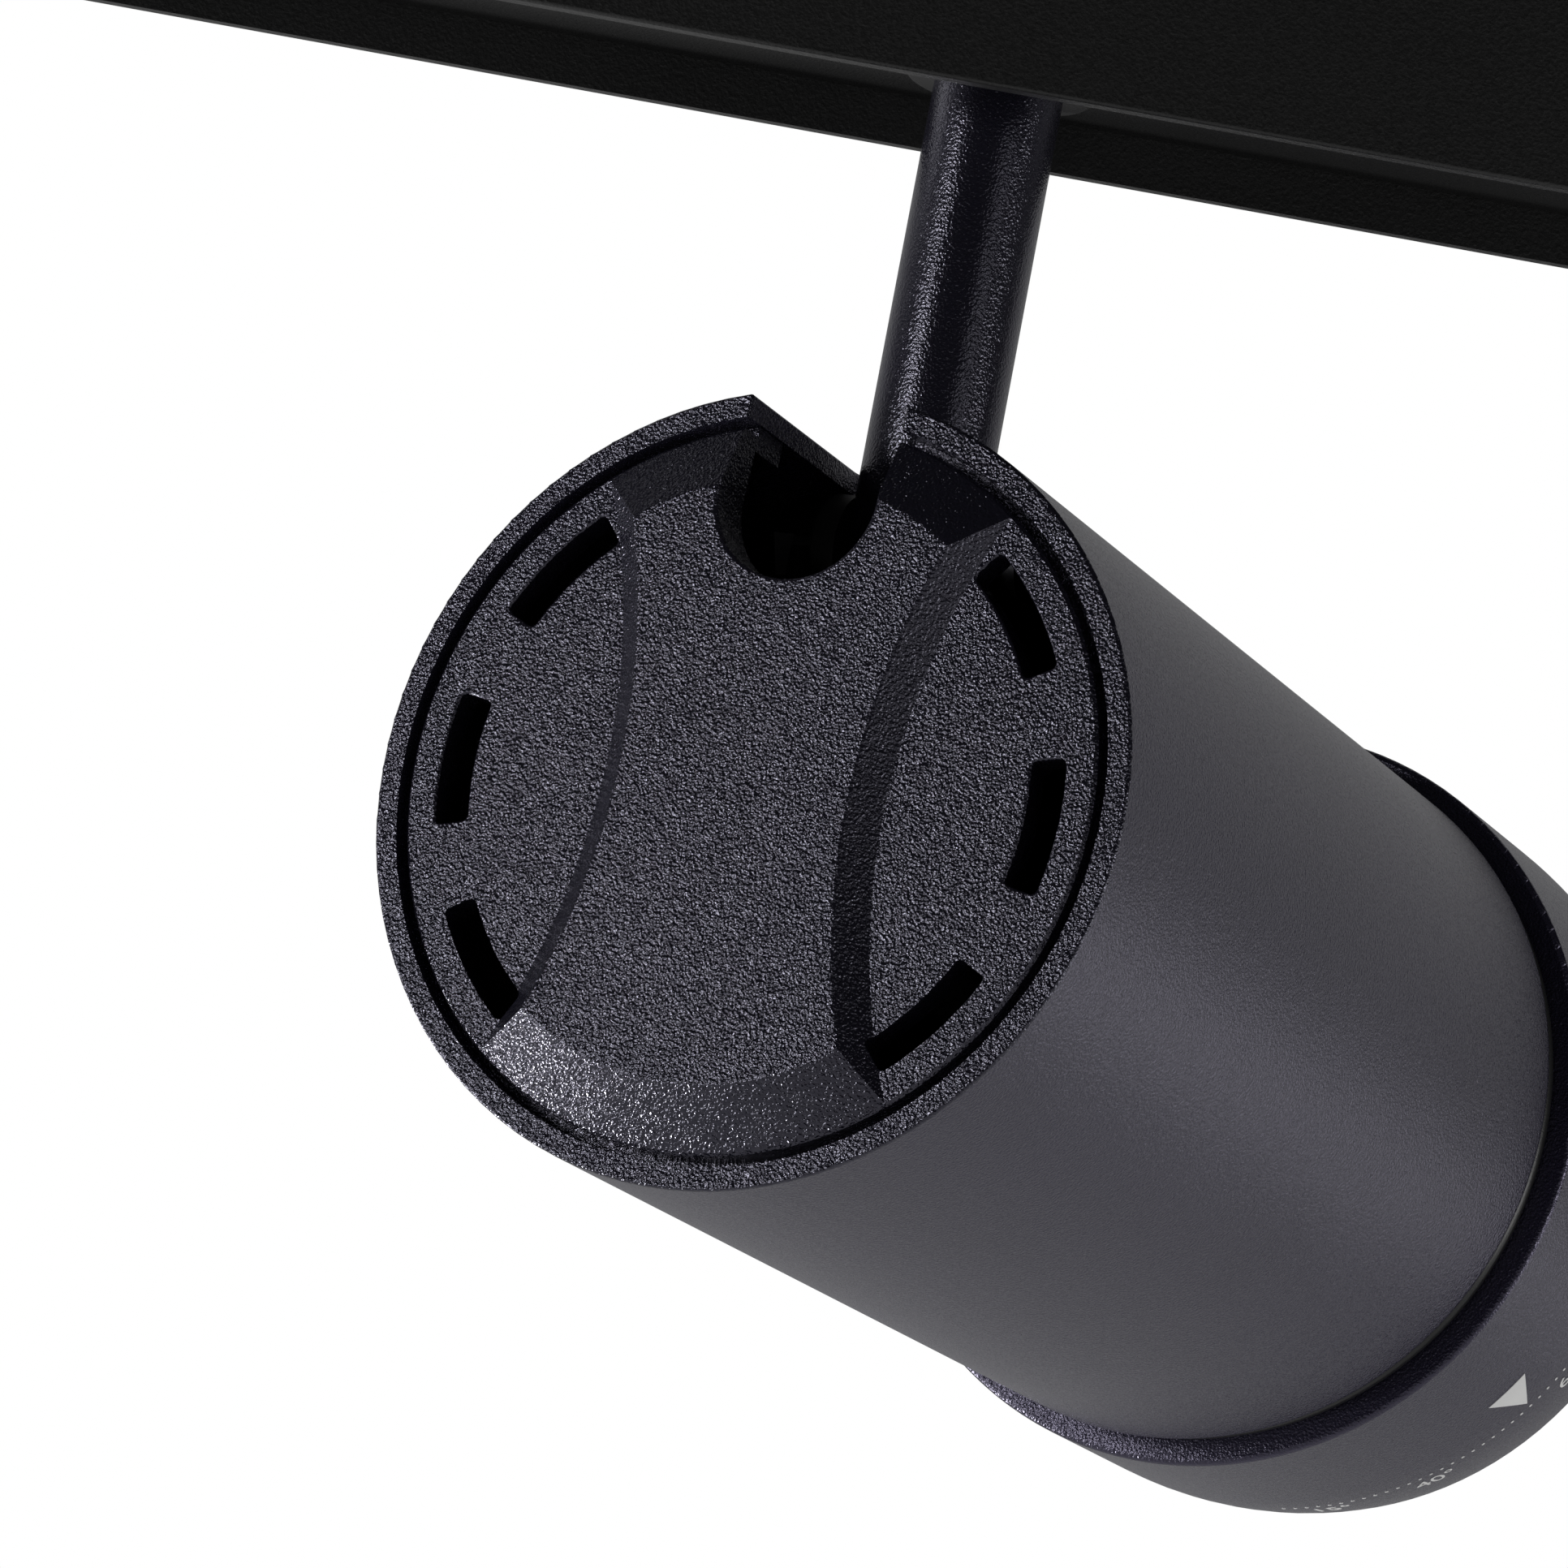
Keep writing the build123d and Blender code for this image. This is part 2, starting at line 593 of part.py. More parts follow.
with BuildPart() as rear_cap:
    # Face with the raised middle and its bevel, and the spigot that sits in the tube
    with BuildSketch(SECTION):
        Polygon(
            (-PLATEAU_RISE, 0),
            (-PLATEAU_RISE, PLATEAU_R),
            (0, CAP_R - 0.3),
            (0.3, CAP_R),
            (CAP_THICK, CAP_R),
            (CAP_THICK, HEAD_BORE_R - 0.05),
            (CAP_THICK + 5, HEAD_BORE_R - 0.05),
            (CAP_THICK + 5, HEAD_BORE_R - 2.3),
            (CAP_THICK, HEAD_BORE_R - 2.3),
            (CAP_THICK, 0),
            align=None,
        )
    revolve(axis=HEAD_AXIS)
    # Sloping concave sides of the raised middle, one each side
    for side in (-1, 1):
        arc_centre = across(-1.1 * PLATEAU_RISE).offset(0)
        arc_centre.origin = arc_centre.origin + SIDEWAYS * side * (WAIST_HALF + WAIST_ARC_R)
        wide = WAIST_ARC_R + 0.1 * WAIST_DRAFT
        narrow = WAIST_ARC_R - WAIST_DRAFT
        with Locations(arc_centre):
            Cone(
                wide,
                narrow,
                1.1 * PLATEAU_RISE,
                align=(Align.CENTER, Align.CENTER, Align.MIN),
                mode=Mode.SUBTRACT,
            )
    with BuildSketch(across(-2 * PLATEAU_RISE)):
        for side in (-1, 1):
            for angle in VENT_ANGLES:
                add(vent(side * angle))
        # The notch that the stem lies in when the head hangs
        with Locations((0, NOTCH_ABOVE)):
            Circle(NOTCH_R)
        with Locations((0, NOTCH_ABOVE + CAP_R / 2)):
            Rectangle(2 * NOTCH_R, CAP_R)
    extrude(amount=2 * PLATEAU_RISE + CAP_THICK + 6, mode=Mode.SUBTRACT)
    # Blind holes for the standoffs that hold the cap from inside
    with BuildSketch(across(CAP_THICK - 1.9)):
        with Locations((-20, -14), (20, -14)):
            Circle(1.3)
    extrude(amount=4, mode=Mode.SUBTRACT)
    # Soft edges round the raised middle and round the vents
    fillet(rear_cap.faces().sort_by(HEAD_AXIS)[0].edges(), PLATEAU_EDGE)
    side_faces = rear_cap.faces().filter_by(GeomType.PLANE).filter_by(faces_with_vents)
    fillet([edge for face in side_faces for wire in face.inner_wires() for edge in wire.edges()], VENT_EDGE)
save("rear_cap", rear_cap.part)

# ---------------------------------------------------------------- tilt joint
CHEEK_INNER = 8.0
CHEEK_OUTER = 10.0
BRACKET_FRONT = 36.0

with BuildPart() as tilt_bracket:
    # Two cheeks about the pivot, a web below it and a flange on the heat sink
    for side in (-1, 1):
        start = CHEEK_INNER if side > 0 else -CHEEK_OUTER
        with BuildSketch(beside(start)):
            Circle(5.0)
            with Locations((-(BRACKET_FRONT - PIVOT_AHEAD) / 2, -3.4)):
                Rectangle(BRACKET_FRONT - PIVOT_AHEAD, 11.8)
            with Locations((0, -5.3)):
                Rectangle(10, 8)
            Circle(PIVOT_BOLT_R + 0.03, mode=Mode.SUBTRACT)
        extrude(amount=CHEEK_OUTER - CHEEK_INNER)
    with BuildSketch(across(PIVOT_AHEAD - 5)):
        with Locations((0, PIVOT_ABOVE - 8.55)):
            Rectangle(2 * CHEEK_OUTER, 1.5)
    extrude(amount=BRACKET_FRONT - PIVOT_AHEAD + 5)
    with BuildSketch(across(BRACKET_FRONT - 2)):
        with Locations((0, 21)):
            Rectangle(27, 18)
    extrude(amount=2)
    with BuildSketch(across(BRACKET_FRONT - 3)):
        with Locations((-6, 15.5), (6, 15.5)):
            Circle(1.6)
        with Locations((0, 26)):
            Circle(3.0)
    extrude(amount=4, mode=Mode.SUBTRACT)
save("tilt_bracket", tilt_bracket.part)

with BuildPart() as bracket_screws:
    with BuildSketch(across(BRACKET_FRONT - 2)):
        with Locations((-6, 15.5), (6, 15.5)):
            Circle(1.5)
    extrude(amount=10)
    with BuildSketch(across(BRACKET_FRONT - 2)):
        with Locations((-6, 15.5), (6, 15.5)):
            Circle(2.75)
    extrude(amount=-2.0)
save("bracket_screws", bracket_screws.part)

with BuildPart() as pivot_bolt:
    with BuildSketch(beside(-CHEEK_OUTER)):
        Circle(PIVOT_BOLT_R)
    extrude(amount=2 * CHEEK_OUTER + 3.0)
    with BuildSketch(beside(-CHEEK_OUTER)):
        Circle(3.6)
    extrude(amount=-2.4)
    with BuildSketch(beside(-CHEEK_OUTER - 2.4)):
        RegularPolygon(1.6, 6)
    extrude(amount=1.4, mode=Mode.SUBTRACT)
save("pivot_bolt", pivot_bolt.part)

with BuildPart() as pivot_nut:
    with BuildSketch(beside(CHEEK_OUTER)):
        RegularPolygon(3.5, 6, major_radius=False)
        Circle(PIVOT_BOLT_R + 0.03, mode=Mode.SUBTRACT)
    extrude(amount=2.6)
save("pivot_nut", pivot_nut.part)

with BuildPart() as friction_washers:
    for start in (-CHEEK_INNER, FLAT_HALF + 0.05):
        with BuildSketch(beside(start)):
            Circle(5.2)
            Circle(PIVOT_BOLT_R + 0.03, mode=Mode.SUBTRACT)
        extrude(amount=CHEEK_INNER - FLAT_HALF - 0.05)
save("friction_washers", friction_washers.part)

# ---------------------------------------------------------------- light engine
SINK_REAR = BRACKET_FRONT
SINK_BASE = 56.0
SINK_FRONT = 62.0
FIN_COUNT = 16

with BuildPart() as heat_sink:
    with BuildSketch(across(SINK_BASE)):
        Circle(HEAD_BORE_R - 0.1)
    extrude(amount=SINK_FRONT - SINK_BASE)
    with BuildSketch(across(SINK_REAR)):
        Circle(10.0)
        with PolarLocations(21.5, FIN_COUNT, start_angle=90 / FIN_COUNT * 2):
            Rectangle(25.0, 1.5)
        with Locations((-6, 15.5), (6, 15.5)):
            Circle(3.2)
        with Locations((-6, 15.5), (6, 15.5)):
            Circle(1.5, mode=Mode.SUBTRACT)
        with Locations((-20, -14), (20, -14)):
            Circle(3.2)
    extrude(amount=SINK_BASE - SINK_REAR)
    # Way for the cable from the tilt joint to the light source
    with BuildSketch(across(SINK_REAR)):
        with Locations((0, 26)):
            Circle(3.0)
    extrude(amount=SINK_FRONT - SINK_REAR, mode=Mode.SUBTRACT)
save("heat_sink", heat_sink.part)

with BuildPart() as cap_standoffs:
    with BuildSketch(across(CAP_THICK)):
        with Locations((-20, -14), (20, -14)):
            RegularPolygon(2.75, 6, major_radius=False)
    extrude(amount=SINK_REAR - CAP_THICK)
    with BuildSketch(across(CAP_THICK - 1.8)):
        with Locations((-20, -14), (20, -14)):
            Circle(1.25)
    extrude(amount=CAP_THICK)
save("cap_standoffs", cap_standoffs.part)

with BuildPart() as led_board:
    with BuildSketch(across(SINK_FRONT)):
        Circle(20.0)
    extrude(amount=1.6)
save("led_board", led_board.part)

with BuildPart() as led_emitter:
    with BuildSketch(across(SINK_FRONT + 1.6)):
        Circle(7.2)
    extrude(amount=1.2)
save("led_emitter", led_emitter.part)

with BuildPart() as led_holder:
    with BuildSketch(across(SINK_FRONT + 1.6)):
        Circle(19.5)
        Circle(8.4, mode=Mode.SUBTRACT)
    extrude(amount=2.8)
    with BuildSketch(across(SINK_FRONT + 4.4)):
        with Locations((-15, 0), (15, 0)):
            Circle(1.5)
    extrude(amount=-2.8, mode=Mode.SUBTRACT)
save("led_holder", led_holder.part)

with BuildPart() as led_screws:
    with BuildSketch(across(SINK_FRONT + 1.6)):
        with Locations((-15, 0), (15, 0)):
            Circle(1.4)
    extrude(amount=2.8)
    with BuildSketch(across(SINK_FRONT + 4.4)):
        with Locations((-15, 0), (15, 0)):
            Circle(2.6)
    extrude(amount=1.6)
save("led_screws", led_screws.part)

with BuildPart() as reflector:
    with BuildSketch(SECTION):
        with BuildLine():
            Spline((66.6, 8.6), (76, 20.0), (99, 31.0))
            Line((99, 31.0), (99, 34.6))
            Line((99, 34.6), (100.2, 34.6))
            Line((100.2, 34.6), (100.2, 30.2))
            Spline((100.2, 30.2), (77.2, 19.2), (67.6, 7.8))
            Line((67.6, 7.8), (66.6, 8.6))
        make_face()
    revolve(axis=HEAD_AXIS)
save("reflector", reflector.part)

with BuildPart() as head_cable:
    with BuildSketch(across(BRACKET_FRONT - 2)):
        with Locations((0, 26)):
            Circle(1.9)
    extrude(amount=SINK_FRONT - BRACKET_FRONT + 2)
save("head_cable", head_cable.part)

# ---------------------------------------------------------------- zoom
CLIP_AT = 122.7
PIN_ANGLES = (30, 150, 270)

with BuildPart() as collar:
    with BuildSketch(SECTION):
        with BuildLine():
            Polyline(
                (COLLAR_FRONT, COLLAR_R),
                (COLLAR_FRONT, COLLAR_BORE_R),
                (COLLAR_REAR, COLLAR_BORE_R),
                (COLLAR_REAR, HEAD_BORE_R - 0.05),
                (HEAD_LENGTH + 0.3, HEAD_BORE_R - 0.05),
                (HEAD_LENGTH + 0.3, 36.4),
            )
            ThreePointArc((HEAD_LENGTH + 0.3, 36.4), (117.3, 37.0), (118.3, 36.4))
            Polyline(
                (118.3, 36.4),
                (118.3, COLLAR_R),
                (CLIP_AT, COLLAR_R),
                (CLIP_AT, COLLAR_R - 0.9),
                (CLIP_AT + 1.0, COLLAR_R - 0.9),
                (CLIP_AT + 1.0, COLLAR_R),
                (COLLAR_FRONT, COLLAR_R),
            )
        make_face()
    revolve(axis=HEAD_AXIS)
    # Straight guide slots for the lens carrier's pins
    for angle in PIN_ANGLES:
        with BuildSketch(radial(CARRIER_AT, angle)):
            SlotOverall(2 * ZOOM_HALF + 2 * PIN_R + 1.2, 2 * PIN_R + 0.7)
        extrude(amount=HEAD_R, mode=Mode.SUBTRACT)
save("collar", collar.part)

with BuildPart() as retaining_clip:
    with BuildSketch(across(CLIP_AT + 0.05)):
        Circle(36.2)
        Circle(COLLAR_R - 0.85, mode=Mode.SUBTRACT)
        with Locations((0, -36)):
            Rectangle(7, 8, mode=Mode.SUBTRACT)
    extrude(amount=0.9)
save("retaining_clip", retaining_clip.part)

with BuildPart() as zoom_ring:
    with BuildSketch(SECTION):
        with BuildLine():
            Polyline(
                (RING_FRONT - 0.5, 34.65),
                (143.5, 34.65),
                (143.5, 32.0),
                (142.0, 32.0),
                (142.0, 37.0),
                (CLIP_AT - 0.4, 37.0),
                (CLIP_AT - 0.4, COLLAR_R + RUNNING_GAP),
                (RING_REAR, COLLAR_R + RUNNING_GAP),
                (RING_REAR, RING_R - 0.6),
            )
            ThreePointArc(
                (RING_REAR, RING_R - 0.6),
                (RING_REAR + 0.6 - 0.6 * sqrt(0.5), RING_R - 0.6 + 0.6 * sqrt(0.5)),
                (RING_REAR + 0.6, RING_R),
            )
            Line((RING_REAR + 0.6, RING_R), (RING_SHOULDER, RING_R))
            taper = TangentArc(
                (RING_SHOULDER, RING_R), (RING_FRONT - 0.7, RING_FRONT_R + 0.1), tangent=(1, 0)
            )
            Line(taper @ 1, (RING_FRONT, RING_FRONT_R - 0.7))
            Line((RING_FRONT, RING_FRONT_R - 0.7), (RING_FRONT, 35.1))
            Line((RING_FRONT, 35.1), (RING_FRONT - 0.5, 34.65))
        make_face()
    revolve(axis=HEAD_AXIS)
save("zoom_ring", zoom_ring.part)

with BuildPart() as front_glass:
    with BuildSketch(across(143.5)):
        Circle(34.6)
    extrude(amount=2.0)
save("front_glass", front_glass.part)

with BuildPart() as glare_baffle:
    # Stepped black baffle that holds the glass against its seat
    with BuildSketch(SECTION):
        Polygon(
            (145.5, 34.6),
            (155.2, 34.6),
            (155.2, 33.6),
            (153.0, 33.2),
            (153.0, 32.4),
            (150.5, 32.2),
            (150.5, 31.4),
            (148.0, 31.2),
            (148.0, 30.4),
            (145.5, 30.2),
            align=None,
        )
    revolve(axis=HEAD_AXIS)
save("glare_baffle", glare_baffle.part)

LENS_SEAT = 129.5
with BuildPart() as lens_carrier:
    with BuildSketch(SECTION):
        Polygon(
            (126.0, COLLAR_BORE_R - RUNNING_GAP),
            (136.0, COLLAR_BORE_R - RUNNING_GAP),
            (136.0, 30.6),
            (LENS_SEAT, 30.6),
            (LENS_SEAT, 29.0),
            (126.0, 29.0),
            align=None,
        )
    revolve(axis=HEAD_AXIS)
    for angle in PIN_ANGLES:
        with BuildSketch(radial(CARRIER_AT, angle)):
            Circle(PIN_R + 0.02)
        extrude(amount=HEAD_R, mode=Mode.SUBTRACT)
save("lens_carrier", lens_carrier.part)

with BuildPart() as guide_pins:
    for angle in PIN_ANGLES:
        with BuildSketch(radial(CARRIER_AT, angle).offset(30.9)):
            Circle(PIN_R)
        extrude(amount=5.7)
save("guide_pins", guide_pins.part)

with BuildPart() as lens:
    with BuildSketch(SECTION):
        with BuildLine():
            Polyline((137.5, 0), (LENS_SEAT, 0), (LENS_SEAT, 30.5), (LENS_SEAT + 1.6, 30.5))
            Line((LENS_SEAT + 1.6, 30.5), (LENS_SEAT + 1.6, 29.2))
            TangentArc((137.5, 0), (LENS_SEAT + 1.6, 29.2), tangent=(0, 1))
        make_face()
    revolve(axis=HEAD_AXIS)
save("lens", lens.part)

with BuildPart() as lens_clip:
    with BuildSketch(across(LENS_SEAT + 1.6)):
        Circle(30.55)
        Circle(29.4, mode=Mode.SUBTRACT)
    extrude(amount=1.2)
save("lens_clip", lens_clip.part)
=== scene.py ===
"""Looks of the track spotlight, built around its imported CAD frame. Metres, CAD frame."""
import json
import math

import bmesh
import bpy
from mathutils import Matrix, Vector


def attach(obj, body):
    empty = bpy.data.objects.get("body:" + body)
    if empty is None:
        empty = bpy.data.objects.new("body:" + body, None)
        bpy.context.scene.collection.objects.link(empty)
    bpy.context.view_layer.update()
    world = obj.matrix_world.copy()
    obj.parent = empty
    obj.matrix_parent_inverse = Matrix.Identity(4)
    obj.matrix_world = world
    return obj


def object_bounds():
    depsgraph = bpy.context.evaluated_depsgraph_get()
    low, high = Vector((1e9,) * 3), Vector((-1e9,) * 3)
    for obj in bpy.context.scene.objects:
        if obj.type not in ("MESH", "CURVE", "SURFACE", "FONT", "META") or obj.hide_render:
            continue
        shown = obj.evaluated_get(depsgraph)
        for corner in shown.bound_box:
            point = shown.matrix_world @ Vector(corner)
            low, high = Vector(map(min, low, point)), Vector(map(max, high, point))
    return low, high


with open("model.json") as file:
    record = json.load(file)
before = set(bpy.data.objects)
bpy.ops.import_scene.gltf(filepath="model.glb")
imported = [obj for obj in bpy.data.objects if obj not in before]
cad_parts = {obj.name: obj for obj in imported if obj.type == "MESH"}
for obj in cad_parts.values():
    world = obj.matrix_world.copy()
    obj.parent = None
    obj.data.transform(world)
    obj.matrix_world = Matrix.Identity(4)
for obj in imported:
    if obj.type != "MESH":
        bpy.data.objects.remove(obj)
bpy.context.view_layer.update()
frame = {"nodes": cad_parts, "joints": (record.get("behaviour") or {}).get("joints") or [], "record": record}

MM = 0.001

# ---------------------------------------------------------------- where the head is
joints = {joint["name"]: joint for joint in frame["joints"]}
FORWARD = Vector(joints["zoom"]["axis"]).normalized()
SIDEWAYS = Vector(joints["tilt"]["axis"]).normalized()
UPWARD = FORWARD.cross(SIDEWAYS).normalized()
RIM_CENTRE = Vector(joints["zoom"]["pos_m"])

# The zoom ring's outline in mm: radii, and distances ahead of the head's rear rim
RING_R = 39.5
RING_SHOULDER = 140.0
RING_FRONT = 156.0
RING_FRONT_R = 37.5
RING_EDGE = 0.7  # bevel round the ring's front edge
RING_EDGE_OUT = 0.1  # how far the bevel's rear end stands out past the front radius

# ---------------------------------------------------------------- camera
CAMERA_PLACE = Vector((0.0162, -0.6525, -0.2034))
CAMERA_HEADING = 2.1  # degrees, left of +Y
CAMERA_RISE = 8.28  # degrees, looking up
CAMERA_ROLL = 10.76
CAMERA_LENS = 162.5
SENSOR = 36.0
CLIP_NEAR, CLIP_FAR = 0.01, 20.0


def add_camera():
    data = bpy.data.cameras.new("camera")
    data.lens = CAMERA_LENS
    data.sensor_width = SENSOR
    data.clip_start = CLIP_NEAR
    data.clip_end = CLIP_FAR
    camera = bpy.data.objects.new("camera", data)
    bpy.context.scene.collection.objects.link(camera)
    turn = Matrix.Rotation(math.radians(CAMERA_HEADING), 4, "Z")
    rise = Matrix.Rotation(math.radians(90 + CAMERA_RISE), 4, "X")
    roll = Matrix.Rotation(math.radians(CAMERA_ROLL), 4, "Z")
    camera.matrix_world = Matrix.Translation(CAMERA_PLACE) @ turn @ rise @ roll
    bpy.context.scene.camera = camera


# ---------------------------------------------------------------- materials
def new_material(name, colour, roughness, metallic=0.0, specular=0.5):
    """A material with its principled shader's constants set on the sockets."""
    material = bpy.data.materials.new(name)
    material.use_nodes = True
    nodes = material.node_tree.nodes
    shader = nodes["Principled BSDF"]
    shader.inputs["Base Color"].default_value = (*colour, 1.0)
    shader.inputs["Roughness"].default_value = roughness
    shader.inputs["Metallic"].default_value = metallic
    shader.inputs["Specular IOR Level"].default_value = specular
    return material, nodes, material.node_tree.links, shader


def object_coordinates(nodes):
    return nodes.new("ShaderNodeTexCoord").outputs["Object"]


def noise(nodes, links, vector, scale, detail=2.0, roughness=0.5):
    node = nodes.new("ShaderNodeTexNoise")
    node.inputs["Scale"].default_value = scale
    node.inputs["Detail"].default_value = detail
    node.inputs["Roughness"].default_value = roughness
    links.new(vector, node.inputs["Vector"])
    return node.outputs["Fac"]


def remap(nodes, links, value, low, high, to_low, to_high):
    node = nodes.new("ShaderNodeMapRange")
    node.inputs["From Min"].default_value = low
    node.inputs["From Max"].default_value = high
    node.inputs["To Min"].default_value = to_low
    node.inputs["To Max"].default_value = to_high
    links.new(value, node.inputs["Value"])
    return node.outputs["Result"]


def add_values(nodes, links, first, second, weight):
    """The first value plus this much of the second."""
    node = nodes.new("ShaderNodeMath")
    node.operation = "MULTIPLY_ADD"
    links.new(second, node.inputs[0])
    node.inputs[1].default_value = weight
    links.new(first, node.inputs[2])
    return node.outputs[0]


def bump(nodes, links, height, distance):
    """The surface's normal under bumps that rise this many metres."""
    node = nodes.new("ShaderNodeBump")
    node.inputs["Strength"].default_value = 1.0
    node.inputs["Distance"].default_value = distance
    links.new(height, node.inputs["Height"])
    return node.outputs["Normal"]


MIX_SHARE, MIX_FIRST, MIX_SECOND, MIX_RESULT = 0, 6, 7, 2  # a colour mix node's sockets


def tint(nodes, links, value, dark, light):
    """A colour that runs from dark to light as the value goes from 0 to 1."""
    node = nodes.new("ShaderNodeMix")
    node.data_type = "RGBA"
    node.inputs[MIX_FIRST].default_value = (*dark, 1.0)
    node.inputs[MIX_SECOND].default_value = (*light, 1.0)
    links.new(value, node.inputs[MIX_SHARE])
    return node.outputs[MIX_RESULT]


def scaled(colour, factor):
    return tuple(channel * factor for channel in colour)


NOISE_LOW, NOISE_HIGH = 0.3, 0.7  # what most of a noise texture's values lie between

CLUMP_SCALE = 0.42  # of the grain's own scale
CLUMP_SHARE = 0.2
PATCH_SCALE = 45.0  # patches to the metre
# How much the painted glint (lighter base colour on the pebble tops) adds to the coat's tone
PAINTED_GLINT_SHARE = 0.8
# How far the base colour swings, for both the random patches and the painted glints
COAT_VARIATION = 0.25
COAT_ROUGHNESS_SPREAD = 0.05


def powder_coat(name, colour, sheen_tint, grain, depth, roughness):
    """Baked powder coat: a glossy skin pebbled with this many grains to the metre."""
    material, nodes, links, shader = new_material(name, colour, roughness, specular=1.0)
    shader.inputs["Specular Tint"].default_value = (*sheen_tint, 1.0)
    where = object_coordinates(nodes)
    pebbles = noise(nodes, links, where, grain, 1.0, 0.5)
    clumps = noise(nodes, links, where, grain * CLUMP_SCALE, 1.0, 0.5)
    height = add_values(nodes, links, pebbles, clumps, CLUMP_SHARE)
    links.new(bump(nodes, links, height, depth), shader.inputs["Normal"])
    # Random patches of tone, plus a base colour lighter on the pebble tops that is a painted glint
    patch = noise(nodes, links, where, PATCH_SCALE, 4.0)
    painted_glint = remap(nodes, links, pebbles, NOISE_LOW, NOISE_HIGH, 0.0, 1.0)
    patches_and_glint = add_values(nodes, links, patch, painted_glint, PAINTED_GLINT_SHARE)
    shade = remap(nodes, links, patches_and_glint, NOISE_LOW, NOISE_HIGH + PAINTED_GLINT_SHARE, 0.0, 1.0)
    dark, light = scaled(colour, 1 - COAT_VARIATION), scaled(colour, 1 + COAT_VARIATION)
    links.new(tint(nodes, links, shade, dark, light), shader.inputs["Base Color"])
    dull, shiny = roughness + COAT_ROUGHNESS_SPREAD, roughness - COAT_ROUGHNESS_SPREAD
    links.new(
        remap(nodes, links, pebbles, NOISE_LOW, NOISE_HIGH, dull, shiny),
        shader.inputs["Roughness"],
    )
    return material


PLASTIC_BROAD_SCALE = 60.0
PLASTIC_VARIATION = 0.15
PLASTIC_ROUGHNESS_SPREAD = 0.06


def moulded_plastic(name, colour, roughness=0.5, grain=6000.0, depth=0.00002):
    """Plastic with a fine moulded grain, and a broad unevenness in colour and shine."""
    material, nodes, links, shader = new_material(name, colour, roughness)
    where = object_coordinates(nodes)
    fine = noise(nodes, links, where, grain, 2.0)
    broad = noise(nodes, links, where, PLASTIC_BROAD_SCALE, 3.0)
    links.new(bump(nodes, links, fine, depth), shader.inputs["Normal"])
    dark, light = scaled(colour, 1 - PLASTIC_VARIATION), scaled(colour, 1 + PLASTIC_VARIATION)
    links.new(tint(nodes, links, broad, dark, light), shader.inputs["Base Color"])
    shiny, dull = roughness - PLASTIC_ROUGHNESS_SPREAD, roughness + PLASTIC_ROUGHNESS_SPREAD
    links.new(
        remap(nodes, links, broad, NOISE_LOW, NOISE_HIGH, shiny, dull),
        shader.inputs["Roughness"],
    )
    return material


METAL_BROAD_SCALE = 90.0
METAL_SHADE = 0.85
METAL_SHINIER, METAL_DULLER = 0.08, 0.12


def worked_metal(name, colour, roughness=0.3, grain=900.0, depth=0.00001):
    """Bare metal with faint tool marks and a slight unevenness in its shine."""
    material, nodes, links, shader = new_material(name, colour, roughness, metallic=1.0)
    where = object_coordinates(nodes)
    marks = noise(nodes, links, where, grain, 5.0, 0.7)
    broad = noise(nodes, links, where, METAL_BROAD_SCALE, 2.0)
    links.new(bump(nodes, links, marks, depth), shader.inputs["Normal"])
    shiny, dull = roughness - METAL_SHINIER, roughness + METAL_DULLER
    links.new(
        remap(nodes, links, marks, NOISE_LOW, NOISE_HIGH, shiny, dull),
        shader.inputs["Roughness"],
    )
    dark = scaled(colour, METAL_SHADE)
    links.new(tint(nodes, links, broad, dark, colour), shader.inputs["Base Color"])
    return material


SMEAR_SCALE = 70.0
SMEAR_LOW, SMEAR_HIGH = 0.4, 0.8
SMEAR_ROUGHNESS = 0.05


def clear_material(name, ior, roughness):
    """Clear glass or plastic with faint smears."""
    material, nodes, links, shader = new_material(name, (0.97, 0.985, 0.98), roughness)
    shader.inputs["IOR"].default_value = ior
    shader.inputs["Transmission Weight"].default_value = 1.0
    where = object_coordinates(nodes)
    smear = noise(nodes, links, where, SMEAR_SCALE, 3.0)
    smeared = roughness + SMEAR_ROUGHNESS
    links.new(
        remap(nodes, links, smear, SMEAR_LOW, SMEAR_HIGH, roughness, smeared),
        shader.inputs["Roughness"],
    )
    return material


# Tints of the coats' shine
BLUISH = (0.84, 0.82, 1.0)
VIOLET = (0.8, 0.75, 1.0)
DULL_GREY = (0.65, 0.65, 0.65)

